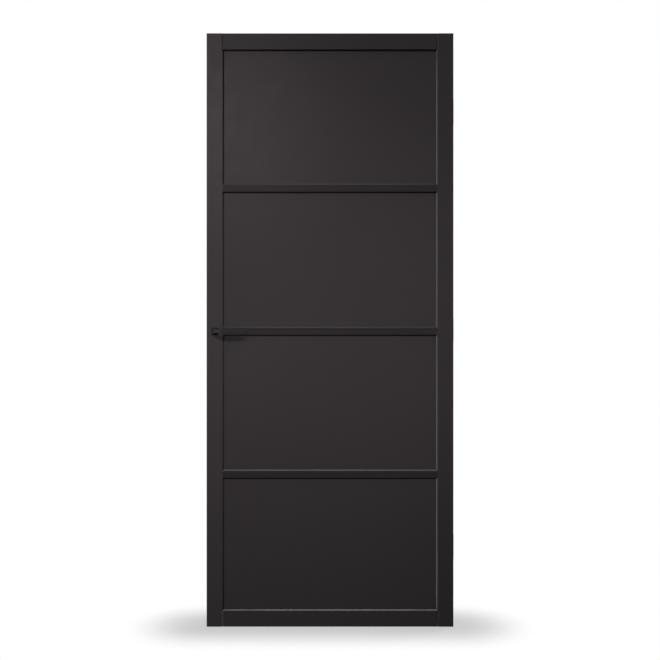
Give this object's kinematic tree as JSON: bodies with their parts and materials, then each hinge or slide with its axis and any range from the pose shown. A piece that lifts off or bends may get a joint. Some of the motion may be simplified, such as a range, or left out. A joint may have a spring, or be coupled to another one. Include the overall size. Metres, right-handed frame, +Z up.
{
  "type": "panelled interior door",
  "caption": "Panelled interior door leaf in satin anthracite: horizontal bars on a recessed panel, flat levers on small square roses, a magnetic latch and butt hinges.",
  "frame": {"origin": "middle of the leaf's foot, halfway through its thickness", "axes": "+X from the lock edge to the hinge edge, +Y from the front face to the back face, +Z up"},
  "size_m": [0.8859, 0.14, 2.115],
  "materials": {
    "lacquer": "satin lacquer",
    "dowel_wood": "bare beech",
    "black_metal": "satin black",
    "steel": "zinc plated",
    "latch_metal": "nickel plated",
    "spring_steel": "oiled spring wire"
  },
  "bodies": {
    "hinge_mounting": {"hinge_lower_jamb_flap": "black_metal", "hinge_lower_pin": "black_metal", "hinge_middle_jamb_flap": "black_metal", "hinge_middle_pin": "black_metal", "hinge_upper_jamb_flap": "black_metal", "hinge_upper_pin": "black_metal"},
    "door_leaf": {"lock_stile": "lacquer", "hinge_stile": "lacquer", "top_rail": "lacquer", "bottom_rail": "lacquer", "panel": "lacquer", "front_bar_lower": "lacquer", "front_bar_middle": "lacquer", "front_bar_upper": "lacquer", "back_bar_lower": "lacquer", "back_bar_middle": "lacquer", "back_bar_upper": "lacquer", "dowels": "dowel_wood", "hinge_lower_leaf_flap": "black_metal", "hinge_middle_leaf_flap": "black_metal", "hinge_upper_leaf_flap": "black_metal", "hinge_screws": "black_metal", "latch_case": "steel", "latch_case_cover": "steel", "case_screws": "steel", "forend": "black_metal", "forend_screws": "black_metal", "latch_spring": "spring_steel", "follower_spring": "spring_steel", "front_rose_base": "steel", "front_rose_cover": "black_metal", "rear_rose_base": "steel", "rear_rose_cover": "black_metal", "rose_screws": "steel"},
    "lever_set": {"front_lever": "black_metal", "rear_lever": "black_metal", "spindle": "steel", "follower": "steel", "lever_grub_screws": "steel"},
    "latch": {"latch_bolt": "latch_metal", "latch_magnet": "steel"}
  },
  "joints": [
    {"name": "leaf_swing", "type": "hinge", "parent": "hinge_mounting", "child": "door_leaf", "pos_m": [0.4404, 0.026, 0], "axis": [0, 0, -1], "range_deg": [0, 170]},
    {"name": "lever_turn", "type": "hinge", "parent": "door_leaf", "child": "lever_set", "pos_m": [-0.41, 0, 1.053], "axis": [0, 1, 0], "range_deg": [0, 36], "stiffness_Nm_per_rad": 1.5, "springref_deg": -28.65, "deforming": ["follower_spring", "latch_spring"]},
    {"name": "latch_slide", "type": "slide", "parent": "door_leaf", "child": "latch", "axis": [-1, 0, 0], "range_m": [0, 0.01], "stiffness_N_per_m": 60, "springref_m": -0.004, "deforming": ["latch_spring"]}
  ]
}
